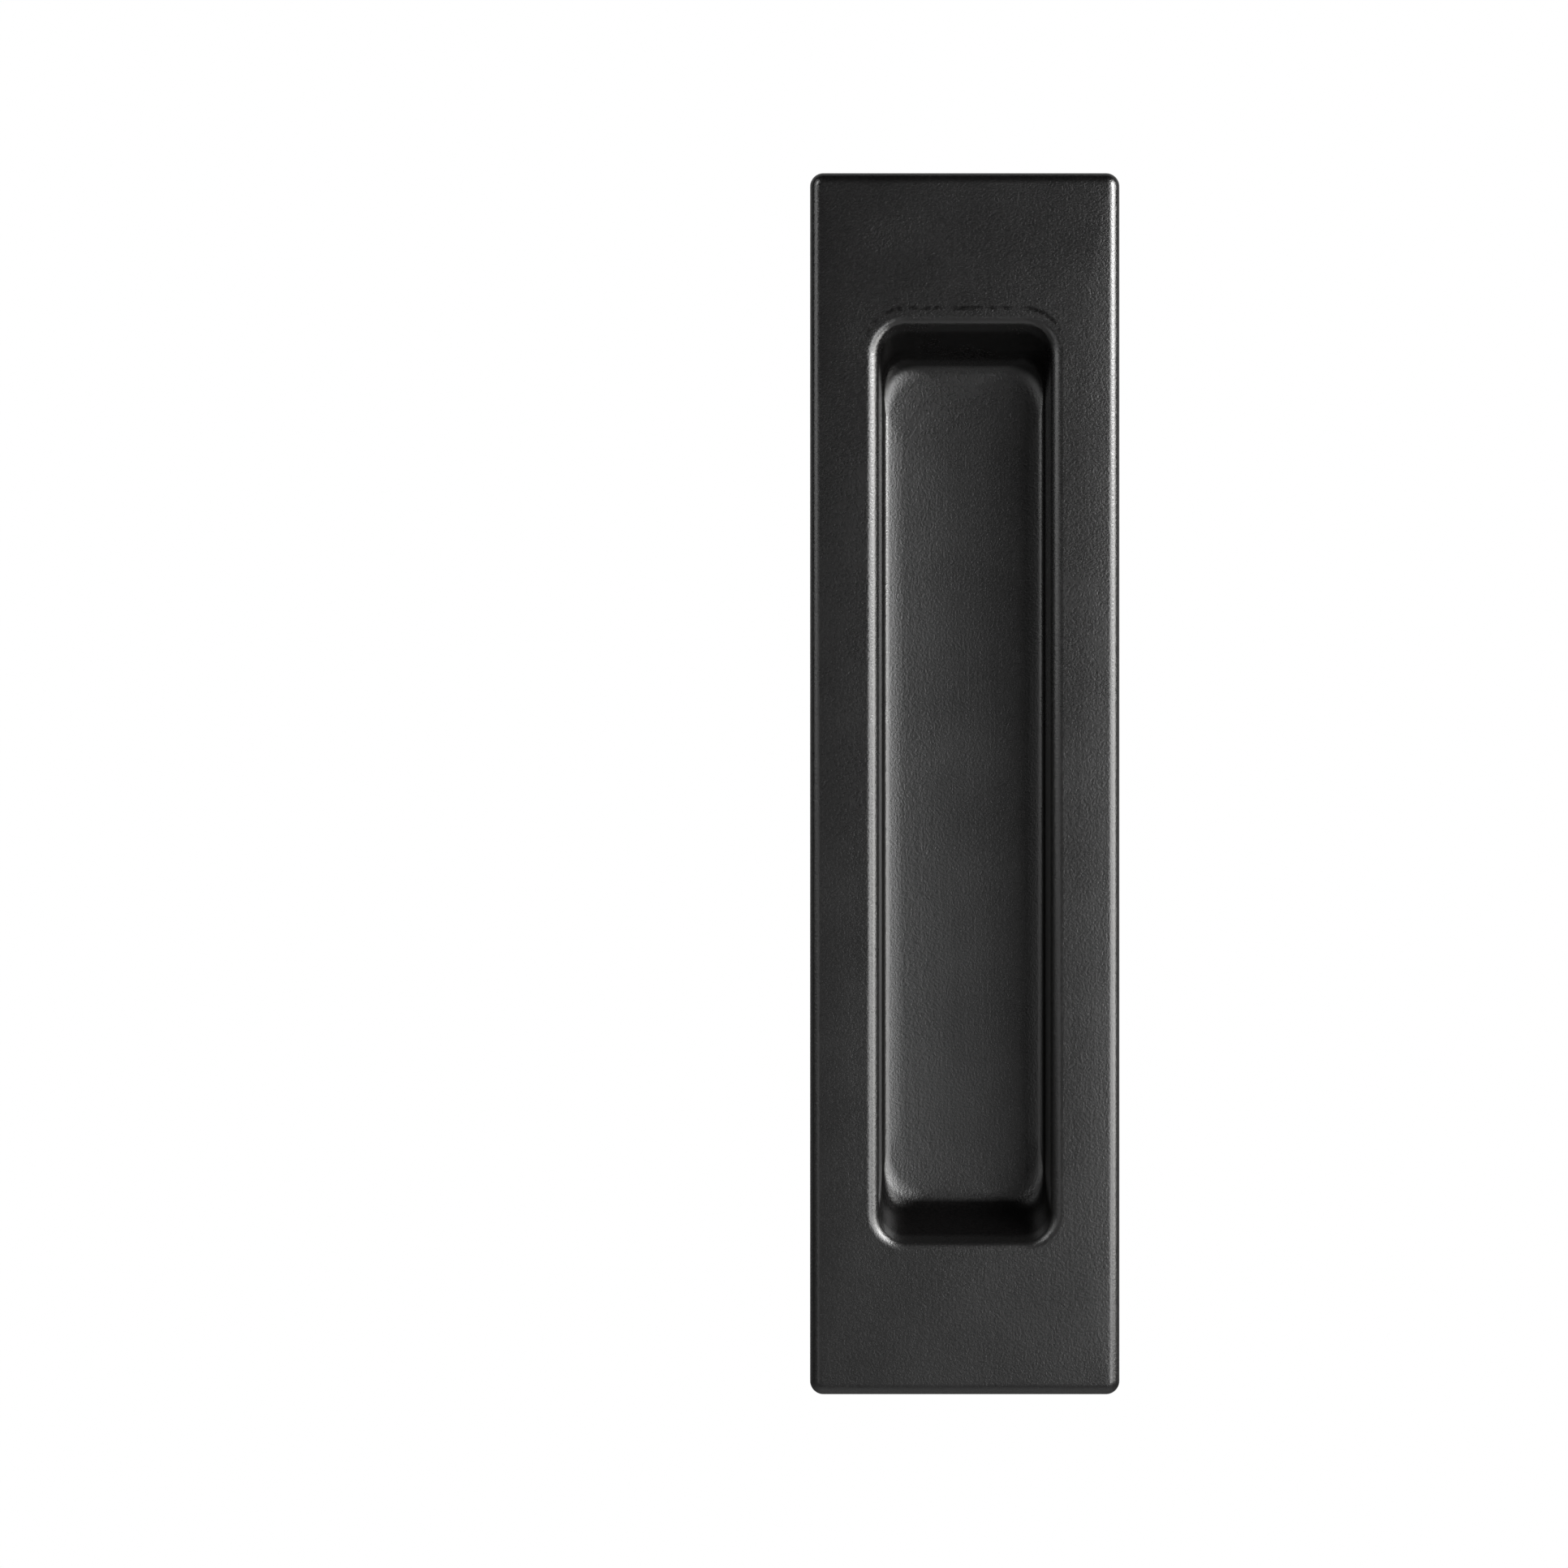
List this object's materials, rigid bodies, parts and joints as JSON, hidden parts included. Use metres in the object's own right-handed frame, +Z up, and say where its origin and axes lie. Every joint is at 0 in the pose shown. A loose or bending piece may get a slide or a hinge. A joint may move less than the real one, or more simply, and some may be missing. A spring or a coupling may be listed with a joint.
{
  "type": "sliding door handle",
  "caption": "Rectangular flush pull for a sliding door, pressed from sheet steel and coated black: flat flange with a turned-back edge and a rounded finger pocket with sloping ends.",
  "frame": {"origin": "middle of the plane where the turned-back edge meets the door", "axes": "+Z up the door along the pull's length, +X across its width, +Y into the door, so the flange faces -Y"},
  "size_m": [0.038, 0.011, 0.15],
  "materials": {
    "black_coat": "satin black coat over lengthwise brushed steel sheet"
  },
  "bodies": {
    "root": {"pull_shell": "black_coat"}
  },
  "joints": []
}
